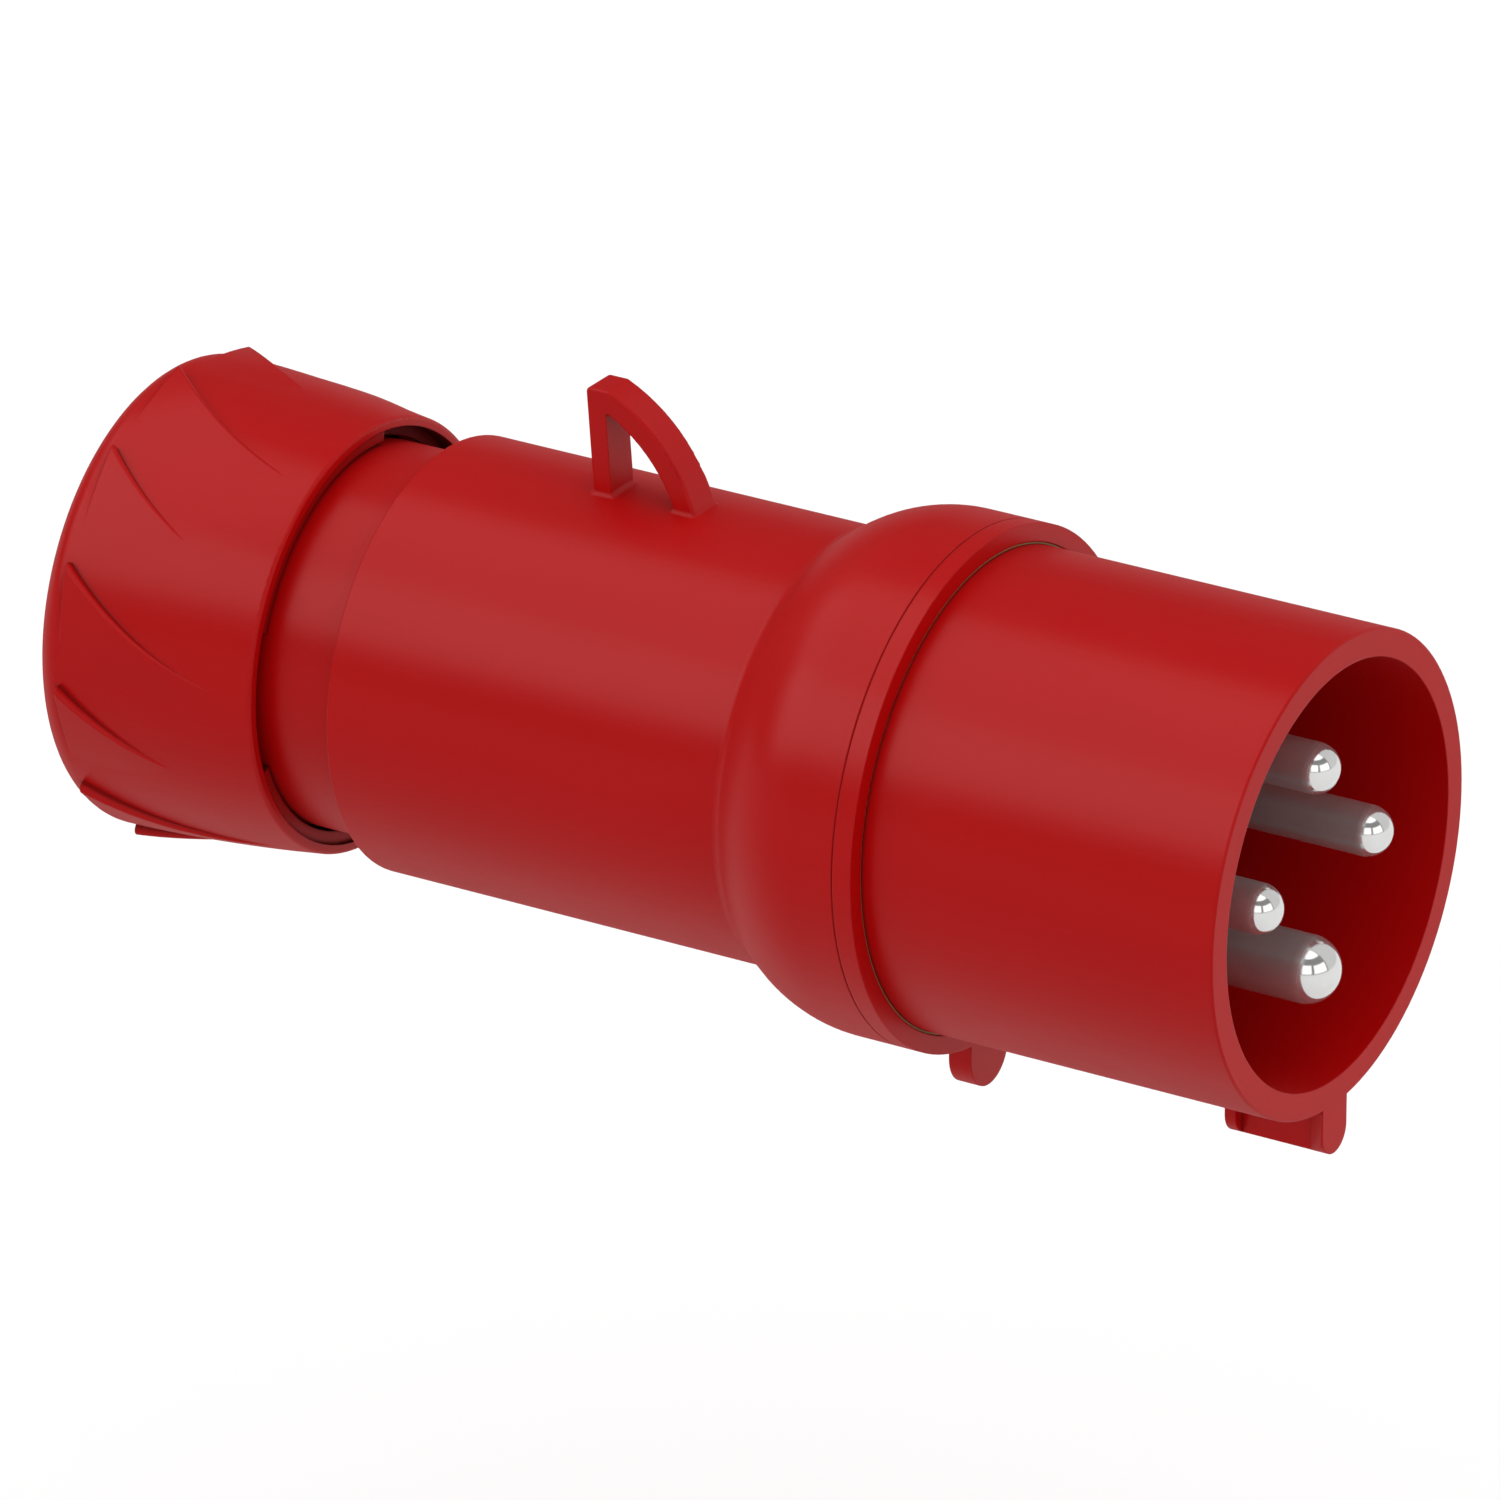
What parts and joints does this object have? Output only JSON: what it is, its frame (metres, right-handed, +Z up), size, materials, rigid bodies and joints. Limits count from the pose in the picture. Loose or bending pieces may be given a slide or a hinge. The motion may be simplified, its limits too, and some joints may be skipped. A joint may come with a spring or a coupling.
{
  "type": "industrial pin and sleeve plug",
  "caption": "Industrial pin and sleeve plug: round shroud with key, contact pins, handle with hanging loop and a screwed cable gland.",
  "frame": {"origin": "centre of the mouth's rim plane, on the plug's own axis", "axes": "+X out of the mouth along the plug's axis, +Z up through the hanging loop, key and earth contact towards -Z"},
  "size_m": [0.1583, 0.062, 0.0761],
  "materials": {
    "red_shell": "satin moulded",
    "olive_seal": "matt",
    "black_rubber": "matt",
    "carrier_plastic": "matt moulded",
    "clamp_plastic": "matt moulded",
    "plated_contact": "nickel plated",
    "plated_steel": "zinc plated"
  },
  "bodies": {
    "plug_body": {"handle_housing": "red_shell", "collar_ring": "red_shell", "collar_seal": "olive_seal", "shroud": "red_shell", "shroud_seal": "black_rubber", "pin_carrier": "carrier_plastic", "pin_retainer": "carrier_plastic", "phase_pin_1": "plated_contact", "phase_pin_2": "plated_contact", "phase_pin_3": "plated_contact", "earth_pin": "plated_contact", "terminal_screw_phase_1": "plated_steel", "terminal_screw_phase_2": "plated_steel", "terminal_screw_phase_3": "plated_steel", "terminal_screw_earth": "plated_steel", "retainer_screw_1": "plated_steel", "retainer_screw_2": "plated_steel", "clamp_cage": "clamp_plastic", "cable_grommet": "black_rubber"},
    "pressure_ring": {"pressure_ring": "clamp_plastic"},
    "gland_nut": {"gland_nut": "red_shell"}
  },
  "joints": [
    {"name": "gland_travel", "type": "slide", "parent": "plug_body", "child": "pressure_ring", "axis": [-1, 0, 0], "range_m": [0, 0.01201]},
    {"name": "gland_turn", "type": "hinge", "parent": "pressure_ring", "child": "gland_nut", "pos_m": [-0.145, 0, 0], "axis": [-1, 0, 0], "range_deg": [0, 1440]}
  ],
  "couplings": [
    {"joint": "gland_travel", "follows": "gland_turn", "m_per_rad": 0.00047746}
  ]
}
